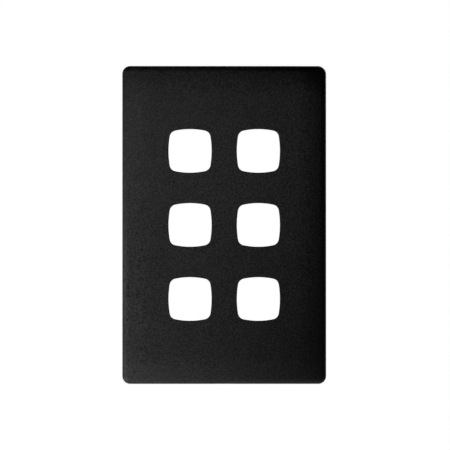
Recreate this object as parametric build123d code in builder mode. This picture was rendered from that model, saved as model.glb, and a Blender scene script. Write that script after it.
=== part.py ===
from build123d import *
import os
from math import asin, degrees, radians, tan

# Six-gang cover plate, one moulding that clips over a switch grid on a wall.
# It stands as it does on the wall: X to the right, Z up, the front towards -Y.
# The back rim lies on the wall plane, Y = 0, and the origin is the rim's centre.
# Lengths are in millimetres, angles in degrees.

# Outer form
plate_width = 75.0
plate_height = 117.0
plate_depth = 9.5  # from the wall to the flat middle of the front
corner_radius = 2.9  # corners of the outline, at the wall
draft_angle = 1.5  # the skirt leans in towards the front, inside and out
shoulder_width = 11.0  # band round the front that falls away to the edges
shoulder_drop = 1.2  # how far the front has fallen at the outer end of the band
edge_roll = 2.4  # tight round between the front and the skirt
front_wall = 2.0
skirt_wall = 1.8
inner_corner_radius = 1.2  # corners of the tray, at the wall
inner_roll = 0.6  # round between the tray's front and sides

# Switch openings, barrel shaped
columns = 2
rows = 3
column_pitch = 25.1
row_pitch = 27.2
opening_width = 15.8
opening_height = 16.0
opening_side_radius = 33.0  # bow of the left and right sides
opening_end_radius = 26.3  # bow of the top and bottom
opening_corner_radius = 2.6
opening_edge_break = 0.3  # small bevel on the front edges
collar_wall = 1.2
collar_height = 2.5  # behind the front wall

# Stiffening ribs between the openings
rib_thickness = 1.0
rib_height = 1.6  # behind the front wall

# Snap hooks, two inside the top of the skirt and two inside the bottom
hook_spacing = 40.0
hook_width = 8.0
hook_root_thickness = 1.8  # in the front wall, from where the tongue thins evenly
hook_tip_thickness = 1.2
hook_setback = 1.2  # from the wall plane to the tip
barb_reach = 0.8
barb_clearance = 1.2  # from the barb to the skirt
barb_ramp = 1.8  # length of the lead-in slope at the tip
barb_land = 0.5  # length of the barb's crest

# Notch in the bottom of the back rim, for levering the plate off
notch_width = 8.0
notch_depth = 1.6
notch_corner_radius = 0.5

# Cutters
overshoot = 1.0  # how far a cutter runs past what it cuts

# Worked out from the sizes above
tray_depth = plate_depth - front_wall
flat_half_width = plate_width / 2 - shoulder_width
flat_half_height = plate_height / 2 - shoulder_width
shoulder_radius = (shoulder_width**2 + shoulder_drop**2) / (2 * shoulder_drop)


def crown_cutter(face_depth, bend_radius):
    """All that lies before a flat face whose four sides bend back, tangent, to the wall."""
    reach = shoulder_width + overshoot
    bend = degrees(asin(reach / bend_radius))
    with BuildPart() as cutter:
        with BuildSketch(Plane.XY):
            with BuildLine():
                flat = Line((-flat_half_width, -face_depth), (flat_half_width, -face_depth))
                right = JernArc(flat @ 1, flat % 1, bend_radius, bend)
                left = JernArc(flat @ 0, -(flat % 0), bend_radius, -bend)
                before = -face_depth - reach
                Polyline(right @ 1, ((right @ 1).X, before), ((left @ 1).X, before), left @ 1)
            make_face()
        extrude(amount=flat_half_height, both=True)
        bottom, top = cutter.faces().filter_by(Axis.Z).sort_by(Axis.Z)
        for end, turn in ((bottom, 1), (top, -1)):
            pivot = Axis((0, bend_radius - face_depth, end.center().Z), (turn, 0, 0))
            revolve(end, axis=pivot, revolution_arc=bend)
    return cutter.part


def crowned_block(inset, corner, wall, roll):
    """The plate as a solid block, drawn in by a skirt's inset and a front wall's thickness."""
    face_depth = plate_depth - wall
    front_corner = corner - face_depth * tan(radians(draft_angle))
    with BuildPart() as block:
        with BuildSketch(Plane.XZ):
            RectangleRounded(plate_width - 2 * inset, plate_height - 2 * inset, corner)
        extrude(amount=face_depth, taper=draft_angle)
        add(crown_cutter(face_depth, shoulder_radius - wall), mode=Mode.SUBTRACT)
        fillet(block.edges(Select.NEW), radius=min(roll, front_corner))
    return block.part


# One opening: the overlap of four large circles, with its corners rounded
with BuildSketch() as opening:
    side_centre = opening_side_radius - opening_width / 2
    end_centre = opening_end_radius - opening_height / 2
    with Locations((side_centre, 0)):
        Circle(opening_side_radius)
    with Locations((-side_centre, 0)):
        Circle(opening_side_radius, mode=Mode.INTERSECT)
    with Locations((0, end_centre)):
        Circle(opening_end_radius, mode=Mode.INTERSECT)
    with Locations((0, -end_centre)):
        Circle(opening_end_radius, mode=Mode.INTERSECT)
    fillet(opening.vertices(), radius=opening_corner_radius)

# One hook, as it stands at the top: a springy tongue with a barb facing the skirt
barb_crest = plate_height / 2 - skirt_wall - barb_clearance
tongue_outside = barb_crest - barb_reach
with BuildPart() as hook:
    with BuildSketch(Plane.YZ):
        with BuildLine():
            Polyline(
                (-plate_depth, tongue_outside - hook_root_thickness),
                (-hook_setback, tongue_outside - hook_tip_thickness),
                (-hook_setback, tongue_outside),
                (-hook_setback - barb_ramp, barb_crest),
                (-hook_setback - barb_ramp - barb_land, barb_crest),
                (-hook_setback - barb_ramp - barb_land - barb_reach, tongue_outside),
                (-plate_depth, tongue_outside),
                close=True,
            )
        make_face()
    extrude(amount=hook_width / 2, both=True)

# Core: the hollow of the tray. Slots in it leave the hooks, ribs and collars standing.
with BuildPart() as core:
    add(crowned_block(skirt_wall, inner_corner_radius, front_wall, inner_roll))

    # Hooks, the lower pair turned end over end
    with Locations(
        Location((-hook_spacing / 2, 0, 0)),
        Location((hook_spacing / 2, 0, 0)),
        Location((-hook_spacing / 2, 0, 0), (0, 180, 0)),
        Location((hook_spacing / 2, 0, 0), (0, 180, 0)),
    ):
        add(hook.part, mode=Mode.SUBTRACT)

    # Ribs, across the tray between the rows and up the middle between the columns
    rib_crest = Plane.XZ.offset(tray_depth - rib_height)
    for row in range(rows - 1):
        with BuildSketch(rib_crest):
            with Locations((0, (row - (rows - 2) / 2) * row_pitch)):
                Rectangle(plate_width, rib_thickness)
        extrude(amount=rib_height + overshoot, mode=Mode.SUBTRACT)
    for column in range(columns - 1):
        with BuildSketch(rib_crest):
            with Locations(((column - (columns - 2) / 2) * column_pitch, 0)):
                Rectangle(rib_thickness, (rows - 1) * row_pitch + opening_height)
        extrude(amount=rib_height + overshoot, mode=Mode.SUBTRACT)

    # Collars, round the openings
    with BuildSketch(Plane.XZ.offset(tray_depth - collar_height)):
        with GridLocations(column_pitch, row_pitch, columns, rows):
            add(offset(opening.sketch, amount=collar_wall, mode=Mode.PRIVATE))
    extrude(amount=collar_height + overshoot, mode=Mode.SUBTRACT)

with BuildPart() as cover_plate:
    # Tray
    add(crowned_block(0, corner_radius, 0, edge_roll))
    add(core.part, mode=Mode.SUBTRACT)

    # Openings, right through the front wall and the collars, with their front edges bevelled
    with BuildSketch(Plane.XZ):
        with GridLocations(column_pitch, row_pitch, columns, rows):
            add(opening.sketch)
    extrude(amount=plate_depth + overshoot, mode=Mode.SUBTRACT)
    front_edges = cover_plate.edges(Select.NEW).filter_by(
        lambda edge: edge.bounding_box().max.Y < -tray_depth
    )
    chamfer(front_edges, length=opening_edge_break)

    # Notch
    with BuildSketch(Plane.XY.offset(-plate_height / 2 - overshoot)) as notch:
        Rectangle(notch_width, 2 * notch_depth)
        fillet(notch.vertices(), radius=notch_corner_radius)
    extrude(amount=skirt_wall + 2 * overshoot, mode=Mode.SUBTRACT)

cover_plate.part.label = "cover_plate"

os.makedirs("parts", exist_ok=True)
export_step(cover_plate.part, "parts/cover_plate.step")
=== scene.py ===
import math

import bmesh
import bpy
import numpy as np
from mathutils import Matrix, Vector


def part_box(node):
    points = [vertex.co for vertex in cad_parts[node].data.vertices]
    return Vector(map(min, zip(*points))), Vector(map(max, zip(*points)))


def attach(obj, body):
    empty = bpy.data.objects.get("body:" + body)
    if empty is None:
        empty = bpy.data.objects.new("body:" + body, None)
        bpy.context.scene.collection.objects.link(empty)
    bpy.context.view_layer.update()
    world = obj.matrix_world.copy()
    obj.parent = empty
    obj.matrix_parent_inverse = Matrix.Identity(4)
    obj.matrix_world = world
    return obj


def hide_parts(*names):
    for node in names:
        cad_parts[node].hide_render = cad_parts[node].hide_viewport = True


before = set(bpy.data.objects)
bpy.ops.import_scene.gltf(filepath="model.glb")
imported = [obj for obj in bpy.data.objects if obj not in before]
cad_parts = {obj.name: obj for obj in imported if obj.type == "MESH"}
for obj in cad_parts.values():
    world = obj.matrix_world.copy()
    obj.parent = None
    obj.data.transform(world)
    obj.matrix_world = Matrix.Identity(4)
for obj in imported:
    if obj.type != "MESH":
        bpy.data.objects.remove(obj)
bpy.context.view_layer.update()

scene = bpy.context.scene

# Shell of the plate: a front and the tray behind it, injection moulded in black plastic. The front
# is flat in the middle, falls away towards its edges and rolls over into a skirt, which leans in a
# little so that the plate leaves the mould. The skirt's rim stands on the wall.
low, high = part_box("cover_plate")
plate_width, plate_depth, plate_height = high - low
corner_radius = 0.0029
draft = math.radians(1.5)
shoulder_width = 0.011  # band round the front that falls away to the edges
shoulder_drop = 0.0012
edge_roll = 0.0024
front_wall = 0.002
skirt_wall = 0.0018
tray_corner_radius = 0.0012
tray_roll = 0.0006
rim_edge = 0.00015
tray_depth = plate_depth - front_wall
plate_half = np.array((plate_width, plate_height)) / 2
flat_half = plate_half - shoulder_width
shoulder_radius = (shoulder_width**2 + shoulder_drop**2) / (2 * shoulder_drop)


def quarter_turn(steps, start=0):
    """Angles over a quarter of a turn in even steps, from a start in degrees."""
    return np.radians(np.linspace(start, start + 90, steps + 1))


def plate_outline(inset, corner):
    """Points (x, z) round the plate at the wall, drawn in by an inset, and the way out at each."""
    corner_steps, shoulder_steps, flat_steps = 12, 4, 12
    half = plate_half - inset
    points, ways = [], []
    for turn, side in enumerate(((1, 1), (-1, 1), (-1, -1), (1, -1))):
        for angle in quarter_turn(corner_steps, 90 * turn):
            way = np.array((math.cos(angle), math.sin(angle)))
            points.append((half - corner) * side + corner * way)
            ways.append(way)
        along = turn % 2
        start, middle = (half - corner)[along], flat_half[along]
        stops = [
            *np.linspace(start, middle, shoulder_steps + 1)[1:],
            *np.linspace(middle, -middle, flat_steps + 1)[1:-1],
            *np.linspace(-middle, -start, shoulder_steps + 1)[:-1],
        ]
        for stop in stops:
            point = half * way
            point[along] = stop * side[along]
            points.append(point)
            ways.append(way)
    return np.array(points), np.array(ways)


def crowned_skin(inset, corner, wall, roll, edge):
    """Loops of points from the rim up the skirt, round the roll and over the shoulder."""
    edge_steps, roll_steps, shoulder_steps = 3, 10, 14
    settle_rounds = 4
    base, out = plate_outline(inset, corner)
    face_depth = plate_depth - wall

    def loop(plan, rise):
        return np.column_stack((plan[:, 0], -np.broadcast_to(rise, len(plan)), plan[:, 1]))

    loops = []
    for angle in quarter_turn(edge_steps):
        rise = abs(edge) * (1 - math.cos(angle))
        step_in = edge * (1 - math.sin(angle)) + rise * math.tan(draft)
        loops.append(loop(base - out * step_in, rise))

    # The roll is the path of a ball that touches the skirt and the shoulder from within. Its rise
    # and its place hang on each other, and both settle in a few rounds.
    ball_bend = shoulder_radius - wall - roll
    ball_rise = np.full(len(base), face_depth - roll)
    for _ in range(settle_rounds):
        ball = base - out * (ball_rise * math.tan(draft) + roll / math.cos(draft))[:, None]
        away = ball - np.clip(ball, -flat_half, flat_half)
        fall = ball_bend - np.sqrt(ball_bend**2 - (away**2).sum(axis=1))
        ball_rise = face_depth - roll - fall
    to_skirt = loop(out * math.cos(draft), math.sin(draft))
    to_front = loop(away / ball_bend, np.sqrt(1 - (away**2).sum(axis=1) / ball_bend**2))
    swing = np.arccos((to_skirt * to_front).sum(axis=1))[:, None]
    for share in np.linspace(0, 1, roll_steps + 1):
        facing = np.sin((1 - share) * swing) * to_skirt + np.sin(share * swing) * to_front
        loops.append(loop(ball, ball_rise) + roll * facing / np.sin(swing))

    bend = shoulder_radius - wall
    for share in np.linspace(1, 0, shoulder_steps + 1)[1:]:
        shoulder = away * share * bend / ball_bend
        fall = bend - np.sqrt(bend**2 - (shoulder**2).sum(axis=1))
        loops.append(loop(ball - away + shoulder, face_depth - fall))
    return loops


def add_band(mesh, loops, finish=0):
    """Adds a band of faces through closed loops of points and returns its rows of vertices."""
    rows = [[mesh.verts.new(point) for point in points] for points in loops]
    for row, beyond in zip(rows, rows[1:]):
        for i in range(len(row)):
            face = mesh.faces.new((row[i - 1], row[i], beyond[i], beyond[i - 1]))
            face.material_index = finish
    return rows


def grain_group():
    """Pits and peaks of a moulded surface: a height for bump and an even mottle from 0 to 1."""
    group = bpy.data.node_groups.new("moulded_grain", "ShaderNodeTree")
    for name, kind in (("Place", "NodeSocketVector"), ("Grain Size", "NodeSocketFloat")):
        group.interface.new_socket(name, in_out="INPUT", socket_type=kind)
    for name in ("Height", "Mottle"):
        group.interface.new_socket(name, in_out="OUTPUT", socket_type="NodeSocketFloat")
    nodes, links = group.nodes, group.links
    given, made = nodes.new("NodeGroupInput"), nodes.new("NodeGroupOutput")
    scale = nodes.new("ShaderNodeMath")
    scale.operation = "DIVIDE"
    scale.inputs[0].default_value = 1.0
    links.new(given.outputs["Grain Size"], scale.inputs[1])
    fine = nodes.new("ShaderNodeTexNoise")
    fine.inputs["Detail"].default_value = 1.0
    fine.inputs["Roughness"].default_value = 0.5
    links.new(given.outputs["Place"], fine.inputs["Vector"])
    links.new(scale.outputs["Value"], fine.inputs["Scale"])

    # Wide clouds, a little of which keeps the mottle from being too even
    cloud_scale, cloud_share = 0.11, 0.1
    wide_scale = nodes.new("ShaderNodeMath")
    wide_scale.operation = "MULTIPLY"
    wide_scale.inputs[1].default_value = cloud_scale
    links.new(scale.outputs["Value"], wide_scale.inputs[0])
    wide = nodes.new("ShaderNodeTexNoise")
    wide.inputs["Detail"].default_value = 2.0
    links.new(given.outputs["Place"], wide.inputs["Vector"])
    links.new(wide_scale.outputs["Value"], wide.inputs["Scale"])
    mottle = nodes.new("ShaderNodeMix")
    mottle.inputs["Factor"].default_value = cloud_share
    links.new(fine.outputs["Fac"], mottle.inputs["A"])
    links.new(wide.outputs["Fac"], mottle.inputs["B"])
    links.new(fine.outputs["Fac"], made.inputs["Height"])
    links.new(mottle.outputs["Result"], made.inputs["Mottle"])
    return group


def black_plastic(name, grain_size, grain_depth, dark, light, smooth, rough):
    """Black plastic whose colour, gloss and bump follow the grain of its mould."""
    mottle_low, mottle_high = 0.3, 0.7
    specular = 0.12  # low, because the grain breaks up the gloss
    material = bpy.data.materials.new(name)
    material.use_nodes = True
    nodes, links = material.node_tree.nodes, material.node_tree.links
    shader = nodes["Principled BSDF"]
    shader.inputs["Specular IOR Level"].default_value = specular
    place = nodes.new("ShaderNodeTexCoord")
    grain = nodes.new("ShaderNodeGroup")
    grain.node_tree = moulded_grain
    grain.inputs["Grain Size"].default_value = grain_size
    links.new(place.outputs["Object"], grain.inputs["Place"])
    colour = nodes.new("ShaderNodeValToRGB")
    ends = colour.color_ramp.elements
    for end, position, grey in zip(ends, (mottle_low, mottle_high), (dark, light)):
        end.position = position
        end.color = (grey, grey, grey, 1)
    links.new(grain.outputs["Mottle"], colour.inputs["Fac"])
    links.new(colour.outputs["Color"], shader.inputs["Base Color"])
    gloss = nodes.new("ShaderNodeMapRange")
    gloss.inputs["From Min"].default_value = mottle_low
    gloss.inputs["From Max"].default_value = mottle_high
    gloss.inputs["To Min"].default_value = smooth
    gloss.inputs["To Max"].default_value = rough
    links.new(grain.outputs["Mottle"], gloss.inputs["Value"])
    links.new(gloss.outputs["Result"], shader.inputs["Roughness"])
    bump = nodes.new("ShaderNodeBump")
    bump.inputs["Distance"].default_value = grain_depth
    links.new(grain.outputs["Height"], bump.inputs["Height"])
    links.new(bump.outputs["Normal"], shader.inputs["Normal"])
    return material


# Spark erosion of the mould gives the outside an even matt grain; the inside comes off milled steel
moulded_grain = grain_group()
eroded_black = black_plastic(
    "eroded_black",
    grain_size=0.0006, grain_depth=0.00008, dark=0.001, light=0.023, smooth=0.55, rough=0.67,
)
milled_black = black_plastic(
    "milled_black",
    grain_size=0.0012, grain_depth=0.00001, dark=0.010, light=0.014, smooth=0.38, rough=0.46,
)
OUTSIDE, INSIDE = 0, 1  # numbers of the two finishes in the plate's mesh
weld_distance = 1e-7
plate = bmesh.new()
tray_loops = crowned_skin(skirt_wall, tray_corner_radius, front_wall, tray_roll, -rim_edge)
front_loops = crowned_skin(0, corner_radius, 0, edge_roll, rim_edge)
add_band(plate, tray_loops[::-1] + front_loops[:1], INSIDE)
add_band(plate, front_loops, OUTSIDE)
bmesh.ops.remove_doubles(plate, verts=plate.verts, dist=weld_distance)

# Openings for six switch rockers, which steel cores in the mould leave in the black plastic. Each
# is barrel-shaped, with a finely rounded front edge and, behind the front wall, a collar that
# guides the rocker.
columns, rows = 2, 3
column_pitch, row_pitch = 0.0251, 0.0272
opening_width, opening_height = 0.0158, 0.016
opening_side_radius, opening_end_radius = 0.033, 0.0263
opening_corner_radius = 0.0026
opening_edge = 0.0003
collar_wall = 0.0012
collar_height = 0.0025
collar_edge = 0.00015
collar_rise = tray_depth - collar_height


def opening_outline():
    """Points (x, z) round one opening, whose sides and ends bow out, and the way out at each."""
    arc_steps = 8
    side_centre = np.array((opening_width / 2 - opening_side_radius, 0))
    end_centre = np.array((0, opening_height / 2 - opening_end_radius))

    # A corner's centre is where circles a corner's radius within the side and the end cross
    side_reach = opening_side_radius - opening_corner_radius
    end_reach = opening_end_radius - opening_corner_radius
    span = end_centre - side_centre
    length = np.hypot(*span)
    near = (length**2 + side_reach**2 - end_reach**2) / (2 * length)
    across = np.array((-span[1], span[0])) / length
    corner_centre = side_centre + span / length * near + across * math.sqrt(side_reach**2 - near**2)
    side_turn = math.atan2(*(corner_centre - side_centre)[::-1])
    end_turn = math.atan2(*(corner_centre - end_centre)[::-1])

    quarter = []
    for centre, radius, start, stop in (
        (side_centre, opening_side_radius, 0, side_turn),
        (corner_centre, opening_corner_radius, side_turn, end_turn),
        (end_centre, opening_end_radius, end_turn, math.pi / 2),
    ):
        for angle in np.linspace(start, stop, arc_steps + 1)[:-1]:
            way = np.array((math.cos(angle), math.sin(angle)))
            quarter.append((centre + radius * way, way))
    quarter.append((np.array((0, opening_height / 2)), np.array((0, 1))))
    whole = []
    for side, stretch in (
        ((1, 1), quarter),
        ((-1, 1), quarter[-2::-1]),
        ((-1, -1), quarter[1:]),
        ((1, -1), quarter[-2:0:-1]),
    ):
        whole += [(point * side, way * side) for point, way in stretch]
    return np.array([point for point, way in whole]), np.array([way for point, way in whole])


def rounded_edge(corner, start, end, radius, steps=3):
    """Points of a section round an edge at a corner, from its start along one face to its end."""
    corner, start, end = (np.array(value, float) for value in (corner, start, end))
    return [
        corner + radius * (start * (1 - math.sin(angle)) + end * (1 - math.cos(angle)))
        for angle in quarter_turn(steps)
    ]


sleeve_section = [
    *rounded_edge((0, plate_depth), (1, 0), (0, -1), opening_edge, steps=5),
    *rounded_edge((0, collar_rise), (0, 1), (1, 0), collar_edge),
    *rounded_edge((collar_wall, collar_rise), (-1, 0), (0, 1), collar_edge),
    (collar_wall, tray_depth),
]
outline, outward = opening_outline()
sleeve = bmesh.new()
add_band(
    sleeve,
    [np.insert(outline + outward * offset, 1, -rise, axis=1) for offset, rise in sleeve_section],
)
sleeve_mesh = bpy.data.meshes.new("sleeve")
sleeve.to_mesh(sleeve_mesh)
sleeve.free()
one_sleeve = bpy.data.objects.new("sleeve", sleeve_mesh)
scene.collection.objects.link(one_sleeve)


def copies_tree():
    """Copies of one form on a grid that faces the front, each row turned further than the last."""
    tree = bpy.data.node_groups.new("copies_on_a_grid", "GeometryNodeTree")
    for name, kind in (
        ("Form", "NodeSocketObject"),
        ("Columns", "NodeSocketInt"),
        ("Rows", "NodeSocketInt"),
        ("Column Pitch", "NodeSocketFloat"),
        ("Row Pitch", "NodeSocketFloat"),
        ("Row Turn", "NodeSocketFloat"),
        ("Finish", "NodeSocketMaterial"),
    ):
        tree.interface.new_socket(name, in_out="INPUT", socket_type=kind)
    tree.interface.new_socket("Geometry", in_out="OUTPUT", socket_type="NodeSocketGeometry")
    nodes, links = tree.nodes, tree.links
    given = nodes.new("NodeGroupInput").outputs

    def reckon(operation, first, second):
        node = nodes.new("ShaderNodeMath")
        node.operation = operation
        for socket, value in zip(node.inputs, (first, second)):
            if isinstance(value, (int, float)):
                socket.default_value = value
            else:
                links.new(value, socket)
        return node.outputs["Value"]

    def place(number, count, pitch):
        middle = reckon("DIVIDE", reckon("SUBTRACT", count, 1), 2)
        return reckon("MULTIPLY", reckon("SUBTRACT", number, middle), pitch)

    index = nodes.new("GeometryNodeInputIndex").outputs["Index"]
    column = reckon("FLOORED_MODULO", index, given["Columns"])
    row = reckon("FLOOR", reckon("DIVIDE", index, given["Columns"]), 0)
    position = nodes.new("ShaderNodeCombineXYZ")
    links.new(place(column, given["Columns"], given["Column Pitch"]), position.inputs["X"])
    links.new(place(row, given["Rows"], given["Row Pitch"]), position.inputs["Z"])
    turn = nodes.new("ShaderNodeCombineXYZ")
    links.new(reckon("MULTIPLY", row, given["Row Turn"]), turn.inputs["Y"])
    points = nodes.new("GeometryNodePoints")
    links.new(reckon("MULTIPLY", given["Columns"], given["Rows"]), points.inputs["Count"])
    links.new(position.outputs["Vector"], points.inputs["Position"])
    form = nodes.new("GeometryNodeObjectInfo")
    links.new(given["Form"], form.inputs["Object"])
    instances = nodes.new("GeometryNodeInstanceOnPoints")
    links.new(points.outputs["Points"], instances.inputs["Points"])
    links.new(form.outputs["Geometry"], instances.inputs["Instance"])
    links.new(turn.outputs["Vector"], instances.inputs["Rotation"])
    real = nodes.new("GeometryNodeRealizeInstances")
    links.new(instances.outputs["Instances"], real.inputs["Geometry"])
    finish = nodes.new("GeometryNodeSetMaterial")
    links.new(real.outputs["Geometry"], finish.inputs["Geometry"])
    links.new(given["Finish"], finish.inputs["Material"])
    links.new(finish.outputs["Geometry"], nodes.new("NodeGroupOutput").inputs["Geometry"])
    return tree


copies = copies_tree()


def copied(form, finish, columns, rows, column_pitch=0.0, row_pitch=0.0, row_turn=0.0):
    """A plain mesh of a form's copies on a grid. The form itself is used up."""
    values = {
        "Form": form,
        "Columns": columns,
        "Rows": rows,
        "Column Pitch": column_pitch,
        "Row Pitch": row_pitch,
        "Row Turn": row_turn,
        "Finish": finish,
    }
    carrier = bpy.data.objects.new("carrier", bpy.data.meshes.new("carrier"))
    scene.collection.objects.link(carrier)
    modifier = carrier.modifiers.new("copies", "NODES")
    modifier.node_group = copies
    for socket in copies.interface.items_tree:
        if socket.in_out == "INPUT":
            modifier[socket.identifier] = values[socket.name]
    graph = bpy.context.evaluated_depsgraph_get()
    mesh = bpy.data.meshes.new_from_object(carrier.evaluated_get(graph))
    bpy.data.objects.remove(carrier)
    bpy.data.objects.remove(form)
    return mesh


shell_faces = len(plate.faces)
plate.from_mesh(copied(one_sleeve, milled_black, columns, rows, column_pitch, row_pitch))
plate.faces.ensure_lookup_table()
for face in plate.faces[shell_faces:]:
    face.material_index = INSIDE

# The flats of the front and of the tray are filled in round the openings' edges
level_tolerance = 1e-6
for rise, finish in ((plate_depth, OUTSIDE), (tray_depth, INSIDE)):
    rims = [
        edge
        for edge in plate.edges
        if edge.is_boundary
        and all(abs(vertex.co.y + rise) < level_tolerance for vertex in edge.verts)
    ]
    flat = bmesh.ops.triangle_fill(plate, use_beauty=True, edges=rims, normal=(0, -1, 0))
    for part in flat["geom"]:
        if isinstance(part, bmesh.types.BMFace):
            part.material_index = finish
bmesh.ops.recalc_face_normals(plate, faces=plate.faces)

# Stiffening ribs of the same plastic, moulded on the back of the front wall: two run across the
# tray between the rows of openings and one up the middle between the columns. Their crests are
# finely rounded.
rib_thickness = 0.001
rib_height = 0.0016
rib_edge = 0.00015
rib_root = 0.0004  # how far the ribs run into the front wall
rib_end_root = 0.00015  # how far they run into the skirt
rib_crest = tray_depth - rib_height
rib_across = plate_width - 2 * (skirt_wall - rib_end_root)
rib_upright = (rows - 1) * row_pitch + opening_height


def bar(name, section, length, lengthwise, middle=0.0, edge=0.0):
    """A bar with a section of (across, rise) points, drawn out along X or Z, its edges rounded."""
    mesh = bmesh.new()
    ends = [
        [
            (end, -rise, across) if lengthwise == "X" else (across, -rise, end)
            for across, rise in section
        ]
        for end in (middle - length / 2, middle + length / 2)
    ]
    for row in add_band(mesh, ends):
        mesh.faces.new(row)
    bmesh.ops.recalc_face_normals(mesh, faces=mesh.faces)
    if edge:
        bmesh.ops.bevel(
            mesh, geom=mesh.edges[:], offset=edge, segments=2, profile=0.5, affect="EDGES"
        )
    made = bpy.data.meshes.new(name)
    mesh.to_mesh(made)
    mesh.free()
    piece = bpy.data.objects.new(name, made)
    scene.collection.objects.link(piece)
    return piece


rib_section = [
    (rib_thickness / 2, tray_depth + rib_root),
    (-rib_thickness / 2, tray_depth + rib_root),
    *rounded_edge((-rib_thickness / 2, rib_crest), (0, 1), (1, 0), rib_edge),
    *rounded_edge((rib_thickness / 2, rib_crest), (-1, 0), (0, 1), rib_edge),
]
one_across = bar("rib_across", rib_section, rib_across, "X")
one_upright = bar("rib_upright", rib_section, rib_upright, "Z")
ribs_across = copied(one_across, milled_black, columns=1, rows=rows - 1, row_pitch=row_pitch)
ribs_upright = copied(
    one_upright, milled_black, columns=columns - 1, rows=1, column_pitch=column_pitch
)

# Snap hooks of the same plastic, moulded on the back of the front wall inside the skirt, two at the
# top and two at the bottom: springy tongues with a barb at the tip that clicks over the edge of the
# switch grid.
hook_spacing = 0.04
hook_width = 0.008
hook_root_thickness, hook_tip_thickness = 0.0018, 0.0012
hook_setback = 0.0012  # from the wall to the tip
hook_root = 0.0007  # how far the hooks run into the front wall
hook_edge = 0.0001
barb_reach, barb_clearance = 0.0008, 0.0012
barb_ramp, barb_land = 0.0018, 0.0005
barb_crest = plate_height / 2 - skirt_wall - barb_clearance
tongue_outside = barb_crest - barb_reach
root_rise = tray_depth + hook_root
root_share = (root_rise - hook_setback) / (plate_depth - hook_setback)
root_thickness = hook_tip_thickness + (hook_root_thickness - hook_tip_thickness) * root_share
hook_section = [
    (tongue_outside - root_thickness, root_rise),
    (tongue_outside - hook_tip_thickness, hook_setback),
    (tongue_outside, hook_setback),
    (barb_crest, hook_setback + barb_ramp),
    (barb_crest, hook_setback + barb_ramp + barb_land),
    (tongue_outside, hook_setback + barb_ramp + barb_land + barb_reach),
    (tongue_outside, root_rise),
]
one_hook = bar("hook", hook_section, hook_width, "X", edge=hook_edge)
hooks = copied(
    one_hook, milled_black, columns=2, rows=2, column_pitch=hook_spacing, row_turn=math.pi
)

# Notch in the plastic of the rim, at the bottom of the skirt, where a screwdriver levers the plate
# off the wall. A block in the mould leaves it.
notch_width = 0.008
notch_depth = 0.0016
notch_corner_radius = 0.0005
notch_corner_steps = 6
notch_section = []
for turn, (side, level) in enumerate(((1, 1), (-1, 1), (-1, -1), (1, -1))):
    for angle in quarter_turn(notch_corner_steps, 90 * turn):
        across = side * (notch_width / 2 - notch_corner_radius)
        rise = level * (notch_depth - notch_corner_radius)
        notch_section.append(
            (
                across + notch_corner_radius * math.cos(angle),
                rise + notch_corner_radius * math.sin(angle),
            )
        )
notch_middle = (skirt_wall - plate_height) / 2
notch = bar("notch", notch_section, 2 * skirt_wall, "Z", middle=notch_middle).data
notch.materials.append(milled_black)

# The whole moulding, one piece of black plastic: the ribs and hooks grow out of the shell and the
# notch goes out of its rim. It hangs on the switch grid by its hooks, with its rim on the wall.
crisp_angle = math.radians(35)
blank = bpy.data.meshes.new("blank")
plate.to_mesh(blank)
plate.free()
for finish in (eroded_black, milled_black):
    blank.materials.append(finish)
shell = bpy.data.objects.new("shell", blank)
scene.collection.objects.link(shell)
for name, mesh, operation in (
    ("joined_ribs_across", ribs_across, "UNION"),
    ("joined_ribs_upright", ribs_upright, "UNION"),
    ("joined_hooks", hooks, "UNION"),
    ("cut_notch", notch, "DIFFERENCE"),
):
    other = bpy.data.objects.new(name, mesh)
    scene.collection.objects.link(other)
    step = shell.modifiers.new(name, "BOOLEAN")
    step.operation, step.object, step.solver = operation, other, "EXACT"
    step.material_mode = "TRANSFER"
graph = bpy.context.evaluated_depsgraph_get()
whole = bpy.data.meshes.new_from_object(shell.evaluated_get(graph))
for used in [obj for obj in scene.objects if obj.type == "MESH" and obj.name != "cover_plate"]:
    bpy.data.objects.remove(used)
whole.shade_smooth()
whole.set_sharp_from_angle(angle=crisp_angle)
moulded_plate = bpy.data.objects.new("moulded_plate", whole)
scene.collection.objects.link(moulded_plate)
even_flats = moulded_plate.modifiers.new("even_flats", "WEIGHTED_NORMAL")
even_flats.keep_sharp = True
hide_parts("cover_plate")
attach(moulded_plate, "root")

# Studio of matt paper: a pale floor well below the plate, a white card behind it, which shows
# through the openings, and one at its left for the view from the right. Of four round lamps, one
# rakes the front from the lower left, two stand before it and one stands behind, for the back.


def pale_paper(name, grey, glow_strength):
    """Matt paper that takes light and shadow, and glows for the camera, gloss and glass alone."""
    material = bpy.data.materials.new(name)
    material.use_nodes = True
    nodes, links = material.node_tree.nodes, material.node_tree.links
    nodes.remove(nodes["Principled BSDF"])
    paper = nodes.new("ShaderNodeBsdfDiffuse")
    paper.inputs["Color"].default_value = (grey, grey, grey, 1)
    sight = nodes.new("ShaderNodeLightPath")
    seen = sight.outputs["Is Camera Ray"]
    for ray in ("Is Glossy Ray", "Is Transmission Ray"):
        either = nodes.new("ShaderNodeMath")
        either.operation = "MAXIMUM"
        links.new(seen, either.inputs[0])
        links.new(sight.outputs[ray], either.inputs[1])
        seen = either.outputs["Value"]
    strength = nodes.new("ShaderNodeMath")
    strength.operation = "MULTIPLY"
    strength.inputs[1].default_value = glow_strength
    links.new(seen, strength.inputs[0])
    glow = nodes.new("ShaderNodeEmission")
    links.new(strength.outputs["Value"], glow.inputs["Strength"])
    both = nodes.new("ShaderNodeAddShader")
    links.new(paper.outputs["BSDF"], both.inputs[0])
    links.new(glow.outputs["Emission"], both.inputs[1])
    links.new(both.outputs["Shader"], nodes["Material Output"].inputs["Surface"])
    return material


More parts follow.
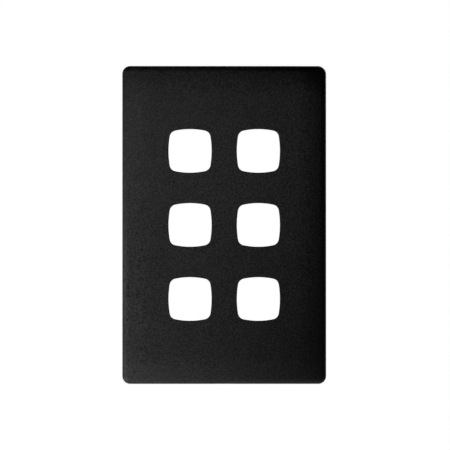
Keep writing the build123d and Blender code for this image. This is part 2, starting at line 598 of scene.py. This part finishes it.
def paper_sheet(name, material, middle, half_along, half_up):
    """A flat sheet of the studio, given by its middle and half of each of its two lengths."""
    middle, along, up = (np.array(value, float) for value in (middle, half_along, half_up))
    corners = [middle - along - up, middle + along - up, middle + along + up, middle - along + up]
    mesh = bpy.data.meshes.new(name)
    mesh.from_pydata(corners, [], [range(len(corners))])
    mesh.materials.append(material)
    sheet = bpy.data.objects.new(name, mesh)
    scene.collection.objects.link(sheet)


def round_lamp(name, place, aim, width, spread, energy):
    """A round lamp with a grid before it, which keeps the light within a spread in degrees."""
    light = bpy.data.lights.new(name, "AREA")
    light.shape = "DISK"
    light.size = width
    light.spread = math.radians(spread)
    light.energy = energy
    lamp = bpy.data.objects.new(name, light)
    lamp.location = place
    lamp.rotation_euler = (Vector(aim) - lamp.location).to_track_quat("-Z", "Y").to_euler()
    lamp.visible_camera = False
    scene.collection.objects.link(lamp)


white_paper = pale_paper("white_paper", grey=0.85, glow_strength=1.0)
pale_floor = pale_paper("pale_floor", grey=0.7, glow_strength=0.7)
paper_sheet(
    "floor", pale_floor,
    middle=(0, 0, -0.6), half_along=(3.5, 0, 0), half_up=(0, 3.5, 0),
)
paper_sheet(
    "backdrop", white_paper,
    middle=(0, 3, -0.025), half_along=(0.4, 0, 0), half_up=(0, 0, 0.425),
)
paper_sheet(
    "left_wall", white_paper,
    middle=(-3, 0, -0.05), half_along=(0, 0.4, 0), half_up=(0, 0, 0.45),
)
round_lamp(
    "raking",
    place=(-0.52, -0.15, -0.385), aim=(0.06, -0.01, 0.05), width=0.04, spread=16, energy=0.08,
)
round_lamp(
    "front_low",
    place=(-0.035, -0.185, -0.13), aim=(-0.06, -0.01, -0.05), width=0.04, spread=55, energy=0.026,
)
round_lamp(
    "front_high",
    place=(-0.15, -0.335, 0.063), aim=(-0.03, -0.01, 0.04), width=0.04, spread=20, energy=0.0075,
)
round_lamp(
    "behind_right",
    place=(0.2, 0.45, 0.25), aim=(0, 0, 0), width=0.25, spread=180, energy=3.0,
)
dim_grey = 0.005
world = bpy.data.worlds.new("studio")
world.use_nodes = True
background = world.node_tree.nodes["Background"]
background.inputs["Color"].default_value = (dim_grey, dim_grey, dim_grey, 1)
scene.world = world

# Camera, square in front of the plate and far off, so that the plate's sides stay out of sight. It
# frames the plate as the photo does, a little off the middle.
photo_side = 450  # pixels
pixel = 0.000368  # one pixel of the photo, at the plate
off_middle_right, off_middle_up = 0.78, -0.05  # pixels
camera_distance = 4.0
lens = bpy.data.cameras.new("camera")
lens.sensor_width = 36
lens.lens = lens.sensor_width * camera_distance / (photo_side * pixel)
camera = bpy.data.objects.new("camera", lens)
camera.location = (off_middle_right * pixel, -camera_distance, off_middle_up * pixel)
camera.rotation_euler = (math.pi / 2, 0, 0)
scene.collection.objects.link(camera)
scene.camera = camera
scene.view_settings.view_transform = "Standard"
